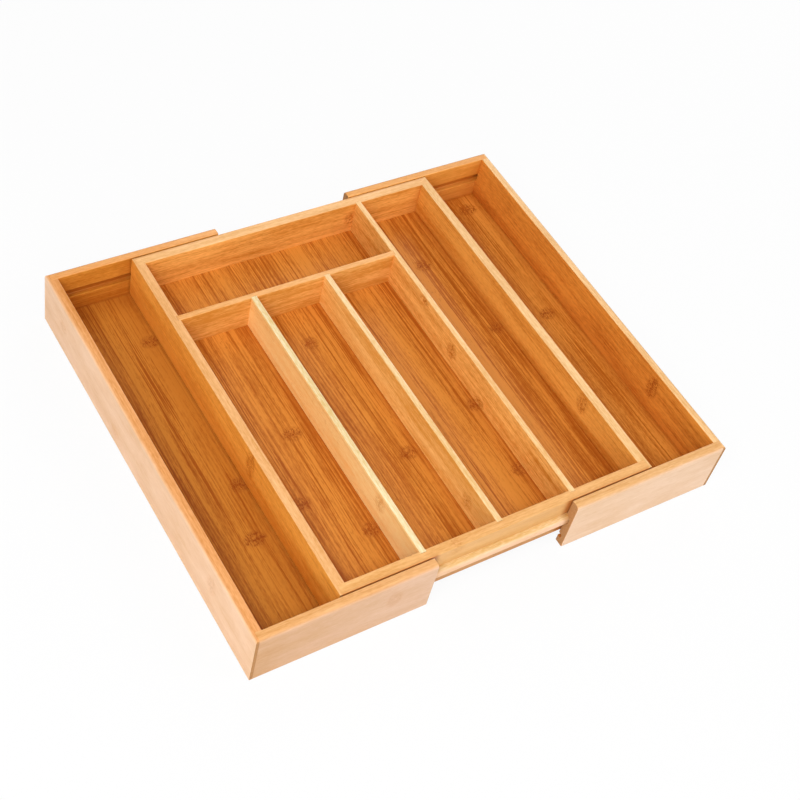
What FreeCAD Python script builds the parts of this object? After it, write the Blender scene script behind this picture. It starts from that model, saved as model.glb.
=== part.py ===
import FreeCAD, Part
import Sketcher
import os
import re

# An extending drawer tray for cutlery, in bamboo board. A centre tray with five compartments hangs
# between two side trays. Rails on its front and back run in grooves inside the side trays' end walls,
# so each side tray pulls out sideways and opens one more compartment. It is modelled pulled out.
# Frame: X to the right, Y to the back, Z up, origin on the table under the middle of the tray.

doc = FreeCAD.newDocument("cutlery_tray")
sheet = doc.addObject("Spreadsheet::Sheet", "sizes")

# Sizes that are set by themselves, in millimetres.
DRIVING = (
    ("tray_depth", 350, "front to back over the side trays"),
    ("tray_height", 50, "table to rim"),
    ("column_width", 60, "clear width of each column in the centre tray"),
    ("back_compartment", 58, "clear depth of the compartment across the back"),
    ("extension", 60, "clear width of a side compartment, pulled out"),
    ("side_wall", 7.5, "thickness of the side trays' walls"),
    ("centre_wall", 8, "thickness of the centre tray's walls"),
    ("divider", 5, "thickness of the dividers"),
    ("panel", 4, "thickness of the three floors"),
    ("side_floor_lift", 6, "table to the underside of a side floor"),
    ("centre_floor_lift", 4, "foot of the centre walls to the underside of their floor"),
    ("floor_setback", 12, "side floor's inner edge to the end walls' free ends"),
    ("floor_groove", 3.5, "depth of the grooves that hold the floors"),
    ("corner_lip", 2.5, "board left outside a corner rabbet"),
    ("wall_dado", 2, "depth of a divider's housing in a wall"),
    ("divider_dado", 1.5, "depth of a divider's housing in another divider"),
    ("glue_gap", 0.2, "room left at the bottom of a groove or housing"),
    ("rail_drop", 16.5, "rim to the top of the rail groove"),
    ("rail_groove_height", 8.8, "height of the rail groove"),
    ("rail_groove_depth", 4, "depth of the rail groove"),
    ("rail_housing", 2, "how far a rail is let into the centre wall"),
    ("rail_clearance", 0.5, "room around a rail in its groove"),
    ("slide_clearance", 1, "centre wall to end wall, at the front and at the back"),
    ("lift_clearance", 1, "side floor to the foot of the centre walls"),
    ("closed_gap", 0.4, "outer wall to centre wall, pushed in"),
    ("meeting_gap", 1, "left end wall to right end wall, pushed in"),
    ("round_over", 3, "radius along the rim's outer edge"),
    ("eased_edge", 0.6, "radius of the other edges along the rim and under a rail"),
    ("rail_nose", 2.8, "radius of a rail's upper running edge"),
)

# Sizes that follow from them.
FOLLOWING = (
    ("pitch", "column_width + divider", "one column to the next"),
    ("block_width", "3 * column_width + 2 * divider", "the three short columns together"),
    ("centre_width", "block_width + divider + column_width + 2 * centre_wall", "over the centre walls"),
    ("centre_depth", "tray_depth - 2 * side_wall - 2 * slide_clearance", "over the centre walls"),
    ("overall_width", "centre_width + 2 * extension + 2 * side_wall", "over the outer walls"),
    ("centre_foot", "side_floor_lift + panel + lift_clearance", "table to foot of the centre walls"),
    ("centre_height", "tray_height - centre_foot", "foot to rim of the centre walls"),
    ("divider_foot", "centre_foot + centre_floor_lift + panel", "table to the centre floor's top"),
    ("divider_height", "tray_height - divider_foot", "centre floor to rim"),
    ("housed_divider", "wall_dado - glue_gap", "a divider's end inside a wall"),
    ("housed_branch", "divider_dado - glue_gap", "a divider's end inside another divider"),
    ("tongue", "floor_groove - glue_gap", "a floor's edge inside a wall"),
    ("shoulder", "centre_wall - corner_lip", "a centre end wall's end inside a rabbet"),
    ("side_shoulder", "side_wall - corner_lip", "a side end wall's end inside a rabbet"),
    ("centre_end_length", "centre_width - 2 * corner_lip", "centre end wall between the lips"),
    ("end_wall_reach", "centre_width / 2 + closed_gap - meeting_gap / 2", "end wall clear of its rabbet"),
    ("end_wall_length", "end_wall_reach + side_shoulder", "end wall with its end in the rabbet"),
    ("rail_groove_low", "tray_height - rail_drop - rail_groove_height", "table to the rail groove"),
    ("rail_low", "rail_groove_low + rail_clearance", "table to the underside of a rail"),
    ("rail_height", "rail_groove_height - 2 * rail_clearance", "height of a rail"),
    ("rail_reach", "slide_clearance + rail_groove_depth - rail_clearance", "rail outside the centre wall"),
    ("groove_top_corner", "rail_nose + rail_clearance", "radius in the rail groove's upper corner"),
    ("groove_low_corner", "eased_edge + rail_clearance", "radius in its lower corner"),
    ("side_floor_width", "end_wall_reach - floor_setback + tongue", "left to right"),
    ("side_floor_depth", "tray_depth - 2 * side_wall + 2 * tongue", "front to back"),
    ("centre_floor_width", "centre_width - 2 * centre_wall + 2 * tongue", "left to right"),
    ("centre_floor_depth", "centre_depth - 2 * centre_wall + 2 * tongue", "front to back"),
    ("long_divider_length", "centre_depth - 2 * centre_wall + 2 * housed_divider", "end to end"),
    ("cross_divider_length", "block_width + housed_divider + housed_branch", "end to end"),
    ("short_divider_length", "long_divider_length - housed_divider - back_compartment - divider"
     " + housed_branch", "end to end"),
)

rows = [(name, str(value), note) for name, value, note in DRIVING]
rows += [(name, "=" + formula, note) for name, formula, note in FOLLOWING]
for row, (name, content, note) in enumerate(rows, 1):
    sheet.set(f"A{row}", note)
    sheet.set(f"B{row}", content)
    sheet.setAlias(f"B{row}", name)
doc.recompute()


def tie(target, prop, formula):
    """Bind a property to a formula written in the sheet's names."""
    target.setExpression(prop, re.sub(r"[a-z_]+", r"sizes.\g<0>", formula))


def rectangle(body, name, plane, left, low, width, height):
    """A rectangle on one of the body's own planes, its corner and sides tied to the sheet."""
    sketch = body.newObject("Sketcher::SketchObject", f"{body.Label}_{name}_outline")
    support = next(item for item in body.Origin.OriginFeatures if item.Role == plane)
    sketch.AttachmentSupport = [(support, "")]
    sketch.MapMode = "FlatFace"
    corners = [FreeCAD.Vector(x, y, 0) for x, y in ((0, 0), (1, 0), (1, 1), (0, 1))]
    for start, end in zip(corners, corners[1:] + corners[:1]):
        sketch.addGeometry(Part.LineSegment(start, end))
    for line, way in enumerate(("Horizontal", "Vertical", "Horizontal", "Vertical")):
        sketch.addConstraint(Sketcher.Constraint("Coincident", line, 2, (line + 1) % len(corners), 1))
        sketch.addConstraint(Sketcher.Constraint(way, line))
    origin_to_corner = (-1, 1, 0, 1)
    bottom_line = (0, 1, 0, 2)
    right_line = (1, 1, 1, 2)
    dimensions = (
        ("left", "DistanceX", origin_to_corner, left),
        ("low", "DistanceY", origin_to_corner, low),
        ("width", "DistanceX", bottom_line, width),
        ("height", "DistanceY", right_line, height),
    )
    for label, kind, points, formula in dimensions:
        index = sketch.addConstraint(Sketcher.Constraint(kind, *points, 1.0))
        sketch.renameConstraint(index, label)
        tie(sketch, f"Constraints.{label}", formula)
    return sketch


def board(label, length, thickness, height):
    """A board's blank: X along it, Y from its outer to its inner face, Z up."""
    body = doc.addObject("PartDesign::Body", label)
    body.Label = label
    section = rectangle(body, "blank", "YZ_Plane", "0", "0", thickness, height)
    blank = body.newObject("PartDesign::Pad", f"{label}_blank")
    blank.Profile = section
    tie(blank, "Length", length)
    return body


def mill(body, name, plane, left, low, width, height):
    """Cut a rectangle through the board, from the plane that it is drawn on to the far side."""
    outline = rectangle(body, name, plane, left, low, width, height)
    pocket = body.newObject("PartDesign::Pocket", f"{body.Label}_{name}")
    pocket.Profile = outline
    pocket.Type = "ThroughAll"
    pocket.Reversed = True


def groove(body, name, depth_start, low, depth, height):
    """A groove along the board."""
    mill(body, name, "YZ_Plane", depth_start, low, depth, height)


def housing(body, name, start, depth_start, width, depth):
    """A housing or rabbet across the board, from its foot to its rim."""
    mill(body, name, "XY_Plane", start, depth_start, width, depth)


def edges_on(shape, box, sides):
    """The names of the shape's edges that lie in all the given sides of a box."""
    tolerance = 1e-4
    names = []
    for number, edge in enumerate(shape.Edges, 1):
        span = edge.BoundBox
        misses = [abs(getattr(span, side[0] + end) - getattr(box, side))
                  for side in sides for end in ("Min", "Max")]
        if max(misses) < tolerance:
            names.append(f"Edge{number}")
    return names


def round_edges(body, name, radius, *places, around="blank"):
    """Round the edges that lie where two sides of the board's blank, or of a groove's outline, meet."""
    doc.recompute()
    base = body.Tip
    box = doc.getObject(f"{body.Label}_{around}").Shape.BoundBox
    names = [edge for sides in places for edge in edges_on(base.Shape, box, sides)]
    fillet = body.newObject("PartDesign::Fillet", f"{body.Label}_{name}")
    fillet.Base = (base, names)
    tie(fillet, "Radius", radius)


def square_end(body, name, start, length, depth_start, depth, height):
    """Fill the rim's easing along an end that sits in a rabbet or housing, so that the joint closes."""
    section = rectangle(body, name, "YZ_Plane", depth_start, "0", depth, height)
    tie(section, "AttachmentOffset.Base.z", start)
    filling = body.newObject("PartDesign::Pad", f"{body.Label}_{name}")
    filling.Profile = section
    tie(filling, "Length", length)


OUTER_RIM = ("YMin", "ZMax")
INNER_RIM = ("YMax", "ZMax")


def place(body, x, y, z, turn=0):
    """Stand the board in the tray, turned about Z by some degrees."""
    body.Placement = FreeCAD.Placement(FreeCAD.Vector(), FreeCAD.Rotation(FreeCAD.Vector(0, 0, 1), turn))
    for axis, formula in zip("xyz", (x, y, z)):
        tie(body, f"Placement.Base.{axis}", formula)


def end_wall(label, free_end):
    """Front or back wall of a side tray, grooved for the rail and for the floor."""
    body = board(label, "end_wall_length", "side_wall", "tray_height")
    round_edges(body, "round_over", "round_over", OUTER_RIM)
    around_free_end = [(free_end, "YMin"), (free_end, "YMax"), (free_end, "ZMax")]
    round_edges(body, "easing", "eased_edge", INNER_RIM, *around_free_end)
    joint_start = "0" if free_end == "XMax" else "end_wall_reach"
    square_end(body, "joint", joint_start, "side_shoulder",
               "side_wall - eased_edge", "eased_edge", "tray_height")
    groove(body, "floor_groove", "side_wall - floor_groove", "side_floor_lift", "floor_groove", "panel")
    groove(body, "rail_groove", "side_wall - rail_groove_depth", "rail_groove_low",
           "rail_groove_depth", "rail_groove_height")
    round_edges(body, "groove_top", "groove_top_corner", ("YMin", "ZMax"), around="rail_groove_outline")
    round_edges(body, "groove_low", "groove_low_corner", ("YMin", "ZMin"), around="rail_groove_outline")
    return body


def rabbet_ends(body, length, wall):
    """Cut back both ends of a wall so that end walls of the same thickness tuck in behind a lip."""
    housing(body, "near_rabbet", "0", "corner_lip", wall, f"{wall} - corner_lip")
    housing(body, "far_rabbet", f"{length} - {wall}", "corner_lip", wall, f"{wall} - corner_lip")


def outer_wall(label):
    """Outer wall of a side tray, rabbeted at both ends and grooved for the floor."""
    body = board(label, "tray_depth", "side_wall", "tray_height")
    round_edges(body, "round_over", "round_over", OUTER_RIM, ("XMin", "ZMax"), ("XMax", "ZMax"))
    round_edges(body, "easing", "eased_edge", INNER_RIM)
    groove(body, "floor_groove", "side_wall - floor_groove", "side_floor_lift", "floor_groove", "panel")
    rabbet_ends(body, "tray_depth", "side_wall")
    return body


def centre_floor_groove(body):
    """The groove that takes the centre floor's edge."""
    groove(body, "floor_groove", "centre_wall - floor_groove", "centre_floor_lift", "floor_groove", "panel")


def centre_side_wall(label):
    """Left or right wall of the centre tray, rabbeted at both ends and grooved for the floor."""
    body = board(label, "centre_depth", "centre_wall", "centre_height")
    round_edges(body, "easing", "eased_edge", OUTER_RIM, INNER_RIM, ("XMin", "ZMax"), ("XMax", "ZMax"))
    centre_floor_groove(body)
    rabbet_ends(body, "centre_depth", "centre_wall")
    return body


def centre_end_wall(label):
    """Front or back wall of the centre tray, with a rail let into its outer face."""
    body = board(label, "centre_end_length", "centre_wall", "centre_height")
    round_edges(body, "easing", "eased_edge", OUTER_RIM, INNER_RIM)
    for name, start in (("near_joint", "0"), ("far_joint", "centre_end_length - shoulder")):
        square_end(body, name, start, "shoulder", "centre_wall - eased_edge", "eased_edge", "centre_height")
    centre_floor_groove(body)
    groove(body, "rail_housing", "0", "rail_low - centre_foot", "rail_housing", "rail_height")
    return body


def divider_board(label, length, near_seat, far_seat):
    """A divider, its rim eased on both faces between the ends that sit in housings."""
    body = board(label, length, "divider", "divider_height")
    round_edges(body, "easing", "eased_edge", OUTER_RIM, INNER_RIM)
    square_end(body, "near_joint", "0", near_seat, "0", "divider", "divider_height")
    square_end(body, "far_joint", f"{length} - {far_seat}", far_seat, "0", "divider", "divider_height")
    return body


def rail(label):
    """A rail strip, as long as the wall it is let into, rounded above and eased below."""
    body = board(label, "centre_end_length", "rail_reach + rail_housing", "rail_height")
    round_edges(body, "nose", "rail_nose", OUTER_RIM)
    round_edges(body, "easing", "eased_edge", ("YMin", "ZMin"))
    return body


# Side trays. The left one's outer face is at -X, the right one's at +X.
left_edge = "-overall_width / 2"
right_edge = "overall_width / 2"
front_edge = "-tray_depth / 2"
back_edge = "tray_depth / 2"

left_outer_wall = outer_wall("left_outer_wall")
place(left_outer_wall, left_edge, back_edge, "0", turn=-90)
left_front_wall = end_wall("left_front_wall", "XMax")
place(left_front_wall, f"{left_edge} + corner_lip", front_edge, "0")
left_back_wall = end_wall("left_back_wall", "XMin")
place(left_back_wall, f"{left_edge} + corner_lip + end_wall_length", back_edge, "0", turn=180)
left_floor = board("left_floor", "side_floor_width", "side_floor_depth", "panel")
place(left_floor, f"{left_edge} + side_wall - tongue", "-side_floor_depth / 2", "side_floor_lift")

right_outer_wall = outer_wall("right_outer_wall")
place(right_outer_wall, right_edge, front_edge, "0", turn=90)
right_front_wall = end_wall("right_front_wall", "XMin")
place(right_front_wall, f"{right_edge} - corner_lip - end_wall_length", front_edge, "0")
right_back_wall = end_wall("right_back_wall", "XMax")
place(right_back_wall, f"{right_edge} - corner_lip", back_edge, "0", turn=180)
right_floor = board("right_floor", "side_floor_width", "side_floor_depth", "panel")
place(right_floor, f"{right_edge} - side_wall + tongue - side_floor_width", "-side_floor_depth / 2",
      "side_floor_lift")

# Centre tray. Its left and right walls run from front to back and take its end walls in rabbets.
centre_left = "-centre_width / 2"
centre_right = "centre_width / 2"
centre_front = "-centre_depth / 2"
centre_back = "centre_depth / 2"
housing_start = "centre_wall - wall_dado"

centre_left_wall = centre_side_wall("centre_left_wall")
housing(centre_left_wall, "cross_housing", "centre_wall + back_compartment", housing_start,
        "divider", "wall_dado")
place(centre_left_wall, centre_left, centre_back, "centre_foot", turn=-90)

centre_right_wall = centre_side_wall("centre_right_wall")
place(centre_right_wall, centre_right, centre_front, "centre_foot", turn=90)

centre_front_wall = centre_end_wall("centre_front_wall")
for column, name in enumerate(("left_short_housing", "right_short_housing", "long_housing")):
    start = f"shoulder + column_width + {column} * pitch"
    housing(centre_front_wall, name, start, housing_start, "divider", "wall_dado")
place(centre_front_wall, f"{centre_left} + corner_lip", centre_front, "centre_foot")

centre_back_wall = centre_end_wall("centre_back_wall")
housing(centre_back_wall, "long_housing", "shoulder + column_width", housing_start, "divider", "wall_dado")
place(centre_back_wall, f"{centre_right} - corner_lip", centre_back, "centre_foot", turn=180)

centre_floor = board("centre_floor", "centre_floor_width", "centre_floor_depth", "panel")
place(centre_floor, "-centre_floor_width / 2", "-centre_floor_depth / 2", "centre_foot + centre_floor_lift")

# Rails, glued into the outer faces of the centre tray's end walls.
front_rail = rail("front_rail")
place(front_rail, f"{centre_left} + corner_lip", f"{centre_front} - rail_reach", "rail_low")
back_rail = rail("back_rail")
place(back_rail, f"{centre_right} - corner_lip", f"{centre_back} + rail_reach", "rail_low", turn=180)

# Dividers. The long one stands between the third column and the full-length one, the cross one
# closes off the compartment at the back, and the short ones part the three columns in front of it.
inner_left = f"{centre_left} + centre_wall"
inner_back = f"{centre_back} - centre_wall"

long_divider = divider_board("long_divider", "long_divider_length", "housed_divider", "housed_divider")
housing(long_divider, "cross_housing", "housed_divider + back_compartment", "0", "divider", "divider_dado")
place(long_divider, f"{inner_left} + block_width", f"{inner_back} + housed_divider", "divider_foot",
      turn=-90)

cross_divider = divider_board("cross_divider", "cross_divider_length", "housed_divider", "housed_branch")
for column, name in enumerate(("left_short_housing", "right_short_housing")):
    start = f"housed_divider + column_width + {column} * pitch"
    housing(cross_divider, name, start, "0", "divider", "divider_dado")
place(cross_divider, f"{inner_left} - housed_divider", f"{inner_back} - back_compartment - divider",
      "divider_foot")

for column, label in enumerate(("short_divider_left", "short_divider_right")):
    body = divider_board(label, "short_divider_length", "housed_branch", "housed_divider")
    start = f"{inner_left} + column_width + {column} * pitch"
    end = f"{inner_back} - back_compartment - divider + housed_branch"
    place(body, start, end, "divider_foot", turn=-90)

doc.recompute()

# Every object has to have computed, every cut or filling has to have changed its board, and every board
# is one sound solid.
for item in doc.Objects:
    if "Invalid" in item.State or "Error" in item.State:
        raise RuntimeError(f"{item.Name} failed: {item.State}")
    base = getattr(item, "BaseFeature", None)
    if base and item.TypeId.startswith("PartDesign::") and abs(item.Shape.Volume - base.Shape.Volume) < 1e-6:
        raise RuntimeError(f"{item.Name} changed nothing")

bodies = [item for item in doc.Objects if item.TypeId == "PartDesign::Body"]
for body in bodies:
    if body.Shape.isNull() or not body.Shape.isValid() or len(body.Shape.Solids) != 1:
        raise RuntimeError(f"{body.Label} isn't one sound solid")

os.makedirs("parts", exist_ok=True)
for body in bodies:
    body.Shape.exportStep(f"parts/{body.Label}.step")
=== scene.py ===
import math

import bpy
from mathutils import Matrix, Vector


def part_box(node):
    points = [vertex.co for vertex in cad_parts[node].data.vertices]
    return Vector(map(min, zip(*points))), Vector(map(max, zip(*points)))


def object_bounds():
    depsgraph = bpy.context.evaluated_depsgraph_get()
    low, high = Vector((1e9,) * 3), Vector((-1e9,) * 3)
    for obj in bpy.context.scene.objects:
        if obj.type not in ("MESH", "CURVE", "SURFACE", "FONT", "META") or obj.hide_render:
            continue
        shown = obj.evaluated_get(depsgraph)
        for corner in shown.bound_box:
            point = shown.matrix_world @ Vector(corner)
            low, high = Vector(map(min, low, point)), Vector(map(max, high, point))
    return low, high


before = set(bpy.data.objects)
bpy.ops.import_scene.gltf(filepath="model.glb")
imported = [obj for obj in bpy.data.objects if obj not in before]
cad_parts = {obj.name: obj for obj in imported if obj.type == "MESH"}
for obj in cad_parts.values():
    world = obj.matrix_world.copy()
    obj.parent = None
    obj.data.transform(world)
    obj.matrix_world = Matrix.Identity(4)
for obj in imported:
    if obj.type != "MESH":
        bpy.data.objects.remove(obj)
cad_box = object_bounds()

# Centre tray, side walls: two bamboo boards as deep as the tray, grooved for the floor and rabbeted
# at both ends, where the end walls are glued in. They look sanded and clear-coated, with a paler rim.


class Shade:
    """A socket in a material. Arithmetic on it adds the maths nodes that work it out."""

    def __init__(self, tree, socket=None):
        self.tree = tree
        self.socket = socket

    def add(self, kind, inputs=(), out=0, **settings):
        """Any node: its settings first, then values or links for its sockets, by name or number."""
        node = self.tree.nodes.new("ShaderNode" + kind)
        for key, value in settings.items():
            setattr(node, key, value)
        for key, value in dict(inputs).items():
            if isinstance(value, Shade):
                self.tree.links.new(value.socket, node.inputs[key])
            else:
                node.inputs[key].default_value = value
        return Shade(self.tree, node.outputs[out])

    def maths(self, operation, *terms):
        """A Math node, or for a vector a Vector Math node, where a plain number counts on every axis."""
        vector = self.socket.type == "VECTOR"
        if vector:
            terms = [(term,) * 3 if isinstance(term, (int, float)) else term for term in terms]
        return self.add("VectorMath" if vector else "Math", enumerate(terms), operation=operation)

    def __add__(self, other):
        return self.maths("ADD", self, other)

    def __radd__(self, other):
        return self.maths("ADD", other, self)

    def __sub__(self, other):
        return self.maths("SUBTRACT", self, other)

    def __rsub__(self, other):
        return self.maths("SUBTRACT", other, self)

    def __mul__(self, other):
        return self.maths("MULTIPLY", self, other)

    def __rmul__(self, other):
        return self.maths("MULTIPLY", other, self)

    def __truediv__(self, other):
        return self.maths("DIVIDE", self, other)

    def __rtruediv__(self, other):
        return self.maths("DIVIDE", other, self)

    def __pow__(self, other):
        return self.maths("POWER", self, other)

    def __rpow__(self, other):
        return self.maths("POWER", other, self)

    def __abs__(self):
        return self.maths("ABSOLUTE", self)

    def floor(self):
        return self.maths("FLOOR", self)

    def top(self, other):
        return self.maths("MAXIMUM", self, other)

    def dot(self, axis):
        return self.add("VectorMath", {0: self, 1: axis}, "Value", operation="DOT_PRODUCT")

    def step(self, start, end):
        """0 before start and 1 after end, smooth between them; start may be the larger."""
        low, high, first, last = (start, end, 0, 1) if start < end else (end, start, 1, 0)
        limits = {"Value": self, "From Min": low, "From Max": high, "To Min": first, "To Max": last}
        return self.add("MapRange", limits, interpolation_type="SMOOTHSTEP")

    def noise(self, stretch, detail=2.0):
        """Noise about 0, from -0.3 to 0.3 or so."""
        return self.add("TexNoise", {"Vector": self * stretch, "Scale": 1.0, "Detail": detail}) - 0.5

    def random(self):
        """One number from -0.5 to 0.5 for each whole number."""
        return self.add("TexWhiteNoise", {"W": self}, noise_dimensions="1D") - 0.5

    def mix(self, first, second):
        """The first colour where this is 0 and the second where it is 1."""
        factor, colour_a, colour_b, result = 0, 6, 7, 2
        return self.add("Mix", {factor: self, colour_a: first, colour_b: second}, result, data_type="RGBA")


def tint(red, green, blue):
    """A colour in screen values from 0 to 255, as the linear values that a shader takes."""
    parts = [value / 255 for value in (red, green, blue)]
    return tuple(p / 12.92 if p < 0.04045 else ((p + 0.055) / 1.055) ** 2.4 for p in parts) + (1.0,)


def toned(colour, amount):
    """A colour moved to the wood's pale side, or below 0 to its dark side: blue moves most, red least."""
    moved = [min(part * math.exp(amount * share), 1.0) for part, share in zip(colour, (0.55, 1.0, 2.1))]
    return tuple(moved) + (1.0,)


X, Y, Z = 0, 1, 2
AXES = ((1, 0, 0), (0, 1, 0), (0, 0, 1))
MM = 1000
rim_height = cad_box[1][Z] * MM
end_grain = tint(180, 130, 80)


class Board:
    """The bamboo of one board: first the wood, then what each call does to it, in their order.

    grain and across are the axes along and across its strips. A knuckle is a place along, a place across
    and a half-width, in mm. figure is how far the streaks show, strip is a strip's width in mm and lines
    is how far the fine lines show. seed gives each board streaks of its own.
    """

    def __init__(self, node, grain, across, seed, tone, knuckles=(), figure=0.9, strip=60.0, lines=0.2):
        self.node = node
        self.grain = grain
        self.across = across
        self.tone = tone
        self.low, self.high = (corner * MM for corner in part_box(node))
        self.material = bpy.data.materials.new(node + "_bamboo")
        self.material.use_nodes = True
        start = Shade(self.material.node_tree)
        self.where = start.add("TexCoord", out="Object") * MM
        self.facing = start.add("TexCoord", out="Normal")
        self.here = self.where + (seed * 31.7, seed * 17.3, seed * 9.1)
        on_top = self.where.dot(AXES[Z]).step(rim_height - 3.5, rim_height - 1.5)
        self.upper_edge = self.facing.dot(AXES[Z]).step(0.4, 0.9) * on_top

        # The grain bends a little by itself and more at a knuckle, and the strips bend with it.
        curl = self.here.noise(self.stretch(7, 4))
        self.knot, ring = self.knuckle_marks(knuckles, curl)
        wave = self.here.noise(self.stretch(300, 60)) * 8 + curl * self.knot * 4
        flow = self.here + start.add("CombineXYZ", {across: wave})
        row = flow.dot(AXES[across]) / strip
        strip_tone = (row.floor() + seed * 3.7).random()
        self.seam = abs(row - (row + 0.5).floor()).step(0.5 / strip, 0.1 / strip)

        # Streaks from broad to fine, then dark lines in patches, pores in patches and a knuckle's dashes.
        self.broad = flow.noise(self.stretch(170, 13))
        self.cloud = flow.noise(self.stretch(45, 7))
        self.streak = flow.noise(self.stretch(110, 2.6))
        self.fibre = flow.noise(self.stretch(45, 0.8))
        self.fleck = flow.noise(self.stretch(5, 1.0), 3.0)
        thread = flow.noise(self.stretch(70, 1.3))
        lined = flow.noise(self.stretch(300, 16)).step(-0.16, 0.1)
        line = flow.noise(self.stretch(110, 1.0)).step(0.02, 0.12) * lined
        porous = flow.noise(self.stretch(40, 12)).step(-0.05, 0.15)
        self.pore = flow.noise(self.stretch(5, 0.7)).step(0.08, 0.2) * porous
        self.dash = flow.noise(self.stretch(2.2, 0.7)).step(-0.02, 0.12)

        value = self.streaks(broad=1.5, cloud=0.8, streak=0.7, fibre=0.9, fleck=1.3) + strip_tone * 0.5
        value = value + (0.3 - line + thread * 2.2) * lines
        spread = 0.45 * figure
        brown = toned(tone, -0.9)
        colour = value.mix(toned(tone, -spread), toned(tone, spread))
        colour = (self.seam * 0.3 + self.pore * 0.45).mix(colour, brown)
        marks = self.knot * (0.2 + self.dash * 0.7) + ring * 0.4
        self.colour = (marks * (0.4 + figure * 0.6)).mix(colour, brown)

    def stretch(self, length, width):
        """The stretch of a noise whose blots are so many mm along the grain and across it."""
        return tuple(1 / length if axis == self.grain else 1 / width for axis in range(3))

    def knuckle_marks(self, knuckles, curl):
        """The spot that each knuckle leaves, 16 mm long, and the thin bent line through it."""
        spot, ring = 0.0, 0.0
        for place, side, half_width in knuckles:
            along = self.where.dot(AXES[self.grain]) - place
            beside = (self.where.dot(AXES[self.across]) - side) / half_width
            near = ((along / 8) ** 2 + beside ** 2).step(1.0, 0.2)
            bend = abs(along + beside ** 2 * 3 + curl * 9)
            spot = near.top(spot)
            ring = (bend.step(1.1, 0.2) * near).top(ring)
        return spot, ring

    def streaks(self, broad, cloud, streak, fibre, fleck):
        """The board's streaks about 0.5, each kind at its own strength."""
        fine = self.streak * streak + self.fibre * fibre + self.fleck * fleck
        return 0.5 + self.broad * broad + self.cloud * cloud + fine

    def away(self, other):
        """How far a place is from the box of another board, in mm."""
        low, high = (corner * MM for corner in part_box(other))
        off = abs(self.where - tuple((low + high) / 2)) - tuple((high - low) / 2)
        return off.dot(AXES[X]).top(off.dot(AXES[Y])).top(off.dot(AXES[Z]))

    def corners(self, others, reach=10.0):
        """Paints shade into the corners that the board makes with others, as far as reach, in mm, darkest
        along the joint.
        """
        for other in others:
            off = self.away(other)
            shade = off.step(reach, 0.0) * 0.3 + off.step(2.2, 0.6) * 0.3
            self.colour = shade.mix(self.colour, toned(self.tone, -0.8))

    def rim(self, pale):
        """Gives the upper edge its own colour, with a trace of the knuckles in it."""
        sawn = self.streaks(broad=1.0, cloud=0.6, streak=0.8, fibre=0.8, fleck=1.2)
        sawn = sawn.mix(toned(pale, -0.27), toned(pale, 0.27))
        self.colour = (self.upper_edge * (0.95 - self.knot * self.dash * 0.4)).mix(self.colour, sawn)

    def finish(self):
        """Adds the end grain, the fine relief and a satin sheen, and puts the material on the board."""
        ends = abs(self.facing.dot(AXES[self.grain])).step(0.6, 0.9)
        pores = self.here.add("TexVoronoi", {"Vector": self.here, "Scale": 1.3}).step(0.55, 0.15)
        cut = (pores * 0.6 + 0.2 - self.fibre).mix(toned(end_grain, 0.1), toned(end_grain, -0.4))
        colour = ends.mix(self.colour, cut)
        raised = self.fibre * 0.7 + self.streak * 0.4 + self.fleck * 0.3
        sunk = self.seam * 0.3 + self.pore * 0.3 + self.knot * self.dash * 0.4
        bump = self.here.add("Bump", {"Height": raised - sunk, "Strength": 0.3, "Distance": 0.0003})
        rough = 0.46 + self.streak * 0.25 + ends * 0.3 + self.knot * 0.1
        tree = self.material.node_tree
        shader = tree.nodes["Principled BSDF"]
        shader.inputs["Specular IOR Level"].default_value = 0.3
        for name, value in (("Base Color", colour), ("Roughness", rough), ("Normal", bump)):
            tree.links.new(value.socket, shader.inputs[name])
        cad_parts[self.node].data.materials[0] = self.material


# Most tints, here and below, were fitted by a script, which compared a face's median colour in the photo
# with that in a render over several rounds, and were then rounded to fives. The rails' outer faces, the
# end grain and the faces that the photo hides were set one by one.
wall = Board("centre_left_wall", Y, Z, 1, tint(230, 150, 50), knuckles=((-38, 36, 18),))
wall.corners(("left_floor", "centre_floor"), reach=18)
wall.rim(tint(225, 165, 100))
wall.finish()

wall = Board("centre_right_wall", Y, Z, 2, tint(215, 140, 50), knuckles=((-89, 39, 12),))
wall.corners(("right_floor", "centre_floor"))
wall.rim(tint(230, 180, 115))
wall.finish()

# Centre tray, end walls: two bamboo boards glued into the side walls' rabbets, with housings for the
# dividers and a rail let into the outer face of each. The side trays' end walls slide over that face.
FRONT, BACK = (0, -1, 0), (0, 1, 0)
front_sliders = ("left_front_wall", "right_front_wall")
back_sliders = ("left_back_wall", "right_back_wall")


def outer_face(board, way, pale, lean=0.0, ledge=None):
    """Gives the face that looks that way its own paler colour, and paints a highlight of it along the rim's
    rounded outer edge. lean paints a gradient of light, how much lighter the face gets per mm along the
    grain, and ledge is a board under which a shadow is painted on the face. Returns where the face is."""
    outermost = max(board.low.dot(way), board.high.dot(way))
    # Painted highlight along the rim's rounded outer edge: up to 40 % of the face's colour, within 2.5 mm
    # of it.
    beside = board.upper_edge * (outermost - board.where.dot(way)).step(2.5, 0.3) * 0.4
    face = board.facing.dot(way).step(0.45, 0.95).top(beside)
    middle = (board.low[board.grain] + board.high[board.grain]) / 2
    # Painted light: lighter along the grain by lean per mm, about the board's middle.
    slope = (board.where.dot(AXES[board.grain]) - middle) * lean
    blots = board.here.noise(board.stretch(40, 12))
    outer_colour = 0.5 + slope + blots * 0.7 + board.streak * 0.3 + board.fibre * 0.3 + board.fleck * 0.5
    outer_colour = outer_colour.mix(toned(pale, -0.3), toned(pale, 0.3))
    if ledge:
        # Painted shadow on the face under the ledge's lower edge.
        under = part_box(ledge)[0].z * MM
        shade = board.where.dot(AXES[Z]).step(under + 0.5, under - 1.0) * 0.6
        outer_colour = shade.mix(outer_colour, toned(pale, -1.0))
    board.colour = (face * (0.97 - board.knot * (0.1 + board.dash * 0.15))).mix(board.colour, outer_colour)
    return face


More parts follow.
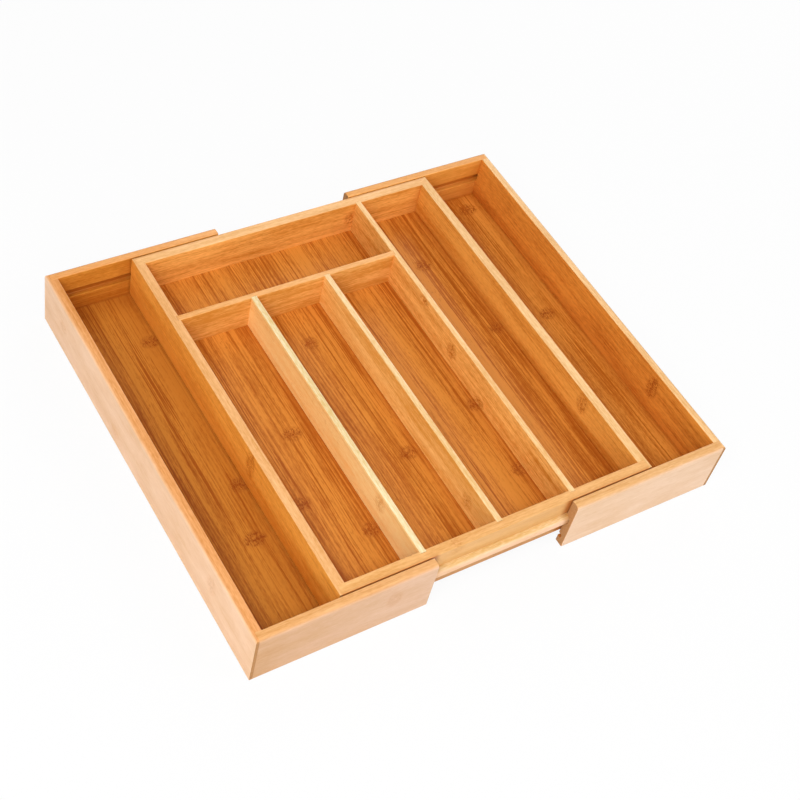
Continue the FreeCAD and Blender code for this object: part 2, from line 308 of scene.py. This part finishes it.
def paint_slider_shadow(board, sliders, share):
    """Paints shadow on a board near the ones that slide over it. share is how much of that a place takes.
    """
    for slider in sliders:
        shade = board.away(slider).step(7.0, 0.5) * share * 0.8
        board.colour = shade.mix(board.colour, toned(board.tone, -1.0))


wall = Board("centre_front_wall", X, Z, 3, tint(225, 150, 70), knuckles=((-39, 46, 7),))
wall.rim(tint(220, 160, 90))
face = outer_face(wall, FRONT, tint(220, 165, 95), ledge="front_rail")
paint_slider_shadow(wall, front_sliders, face)
wall.finish()

wall = Board("centre_back_wall", X, Z, 4, tint(230, 155, 65), knuckles=((60, 34, 9),))
wall.corners(("centre_right_wall",))
wall.rim(tint(235, 180, 115))
face = outer_face(wall, BACK, tint(225, 165, 100), ledge="back_rail")
paint_slider_shadow(wall, back_sliders, face)
wall.finish()

# Centre tray, floor: one thin bamboo panel, its four edges in the walls' grooves. It looks glued up from
# narrow strips that run front to back and differ a little in tone, with fine lines along them.
narrow_strips = {"figure": 1.1, "strip": 16, "lines": 0.8}
floor_knuckles = ((-14, -86, 10), (-111, 59, 9), (-113, -74, 9), (-73, -110, 9), (60, -30, 8),
                  (-64, -13, 9), (-44, 59, 7), (100, 100, 9), (17, 121, 8))
panel = Board("centre_floor", Y, X, 5, tint(190, 110, 30), floor_knuckles, **narrow_strips)
panel.corners(("long_divider", "short_divider_left", "short_divider_right"))
panel.corners(("centre_left_wall", "centre_right_wall"))
panel.finish()

# Dividers: four thin bamboo boards, glued. The long one is housed in the end walls, the cross one in the
# left wall and the long divider, and the short ones in the front wall and the cross divider.
long_knuckles = ((0, 34, 9), (-46, 22, 6), (46, 46, 4))
divider = Board("long_divider", Y, Z, 6, tint(225, 155, 65), long_knuckles, figure=1.1)
divider.rim(tint(235, 185, 120))
divider.finish()

divider = Board("cross_divider", X, Z, 7, tint(230, 165, 80), figure=0.8)
divider.rim(tint(230, 165, 95))
divider.finish()

divider = Board("short_divider_left", Y, Z, 8, tint(255, 205, 130), ((-107, 40, 10),), figure=0.4)
divider.rim(tint(230, 205, 150))
divider.finish()

divider = Board("short_divider_right", Y, Z, 9, tint(240, 180, 95), ((-127, 32, 9),), figure=0.7)
divider.rim(tint(235, 195, 135))
divider.finish()

# Rails: two bamboo strips let into the centre tray's end walls, with a rounded upper edge. They carry the
# centre tray in the side trays' grooves.
rails = (("front_rail", 10, FRONT, front_sliders), ("back_rail", 11, BACK, back_sliders))
for node, seed, way, sliders in rails:
    rail = Board(node, X, Z, seed, tint(225, 190, 135), figure=0.7)
    outer_face(rail, way, tint(240, 190, 140))
    paint_slider_shadow(rail, sliders, 0.8)
    rail.finish()

# Side trays, outer walls: bamboo boards as deep as the tray, rabbeted at both ends like the centre's. Their
# outer faces are paler than the inside, and the rim's outer edge is rounded over.
LEFT, RIGHT = (-1, 0, 0), (1, 0, 0)
outer_knuckles = ((-113, 29, 13), (43, 12, 7), (139, 27, 6))
wall = Board("left_outer_wall", Y, Z, 12, tint(215, 140, 60), outer_knuckles)
wall.corners(("left_floor",))
wall.rim(tint(220, 150, 85))
outer_face(wall, LEFT, tint(240, 190, 140))
wall.finish()

wall = Board("right_outer_wall", Y, Z, 13, tint(200, 115, 30), ((-95, 34, 15),), figure=1.3)
wall.corners(("right_floor",), reach=15)
wall.rim(tint(230, 180, 115))
outer_face(wall, RIGHT, tint(245, 205, 170))
wall.finish()

# Side trays, end walls: half-length bamboo boards glued into the outer walls' rabbets. Inside, one groove
# runs on the centre tray's rail and a lower one holds the floor.


def end_wall(node, seed, way, tone, rim, pale, others, lean=0.0, **wood):
    """One end wall, with painted shade in the grooves of its inner face and in the corners with other
    boards.
    """
    board = Board(node, X, Z, seed, tone, **wood)
    board.corners(others, reach=18)
    # Painted shade: all more than 1.5 mm behind the inner face is darker, which shows in the grooves; the
    # rim, outer face and end grain are painted over it later.
    inner_face = min(board.low.dot(way), board.high.dot(way))
    groove = (board.where.dot(way) - inner_face).step(0.2, 1.5) * 0.6
    board.colour = groove.mix(board.colour, toned(tone, -0.9))
    board.rim(rim)
    outer_face(board, way, pale, lean)
    board.finish()


# The left front wall's outer face gets a painted gradient of light, lighter towards its free end.
end_wall("left_front_wall", 14, FRONT, tint(215, 140, 60), tint(215, 155, 90), tint(210, 165, 120),
         ("left_floor",), lean=0.0039, knuckles=((-93, 29, 12),))
end_wall("left_back_wall", 15, BACK, tint(205, 130, 40), tint(230, 160, 90), tint(230, 180, 135),
         ("left_floor", "centre_left_wall"))
end_wall("right_front_wall", 16, FRONT, tint(215, 140, 60), tint(220, 165, 100), tint(230, 190, 145),
         ("right_floor",))
end_wall("right_back_wall", 17, BACK, tint(230, 155, 65), tint(225, 155, 80), tint(230, 180, 135),
         ("right_floor", "right_outer_wall"), figure=0.5)

# Side trays, floors: thin bamboo panels of narrow strips like the centre's, held in three grooves. Their
# fourth edge is free and runs under the centre tray.
left_knuckles = ((115, -141, 10), (-34, -140, 9), (-81, -151, 11))
panel = Board("left_floor", Y, X, 18, tint(180, 105, 25), left_knuckles, **narrow_strips)
panel.corners(("left_outer_wall", "left_front_wall", "left_back_wall", "centre_left_wall"), reach=26)
panel.finish()

right_knuckles = ((151, 180, 10), (20, 178, 9))
panel = Board("right_floor", Y, X, 19, tint(200, 120, 35), right_knuckles, **narrow_strips)
panel.corners(("right_outer_wall", "right_front_wall", "right_back_wall", "centre_right_wall"))
panel.finish()

# Studio: a white sheet just under the tray, a large soft lamp at the left of the camera, weaker ones at
# its right, low in front and behind the tray, and pale light all round.
sheet_size, sheet_drop = 60, 0.0005
bpy.ops.mesh.primitive_plane_add(size=sheet_size, location=(0, 0, -sheet_drop))
sheet = bpy.context.object
sheet.name = "studio_floor"
paper = bpy.data.materials.new("studio_paper")
paper.use_nodes = True
start = Shade(paper.node_tree)
matt = start.add("BsdfDiffuse", {"Color": (0.75, 0.75, 0.75, 1.0)})
glow = start.add("Emission", {"Color": (1.0, 1.0, 1.0, 1.0), "Strength": 1.0})
ray_kinds = ("Is Camera Ray", "Is Glossy Ray", "Is Transmission Ray")
camera_ray, glossy_ray, transmission_ray = (start.add("LightPath", out=kind) for kind in ray_kinds)
seen = (camera_ray + glossy_ray + transmission_ray) * 0.92
both = start.add("MixShader", {0: seen, 1: matt, 2: glow})
paper.node_tree.links.new(both.socket, paper.node_tree.nodes["Material Output"].inputs["Surface"])
sheet.data.materials.append(paper)

# Each lamp's place and width, and how bright it makes a white card that faces it beside the tray.
lamps = (("left_lamp", (-1.05, -0.7, 1.65), 1.2, 0.71), ("right_lamp", (1.0, -1.0, 1.4), 1.2, 0.25),
         ("front_lamp", (-0.9, -1.5, 0.6), 1.0, 0.28), ("back_lamp", (1.3, 1.0, 0.9), 1.2, 0.3))
for name, place, width, level in lamps:
    lamp = bpy.data.objects.new(name, bpy.data.lights.new(name, "AREA"))
    lamp.data.shape = "DISK"
    lamp.data.size = width
    lamp.location = place
    lamp.data.energy = level * math.pi ** 2 * lamp.location.length_squared
    lamp.rotation_euler = (-lamp.location).to_track_quat("-Z", "Y").to_euler()
    bpy.context.collection.objects.link(lamp)

scene = bpy.context.scene
scene.world = bpy.data.worlds.new("studio")
scene.world.use_nodes = True
sky = scene.world.node_tree.nodes["Background"]
sky.inputs["Color"].default_value = (1.0, 1.0, 1.0, 1.0)
sky.inputs["Strength"].default_value = 0.3
scene.view_settings.view_transform = "Standard"

# Camera: in front and to the left, about 1.2 m off, looking down at about half a right angle and tilted.
# Its angles, lens and place were solved by a script from the tray's corners in the photo.
turn, rise, roll = math.radians(-42.93), math.radians(49.66), math.radians(15.80)
camera = bpy.data.objects.new("camera", bpy.data.cameras.new("camera"))
camera.data.lens = 68.335
camera.data.sensor_width = 36
pan = Matrix.Rotation(turn, 4, "Z")
dip = Matrix.Rotation(math.pi / 2 - rise, 4, "X")
tilt = Matrix.Rotation(roll, 4, "Z")
camera.matrix_world = Matrix.Translation(Vector((-0.5112, -0.5747, 0.9153))) @ pan @ dip @ tilt
bpy.context.collection.objects.link(camera)
scene.camera = camera
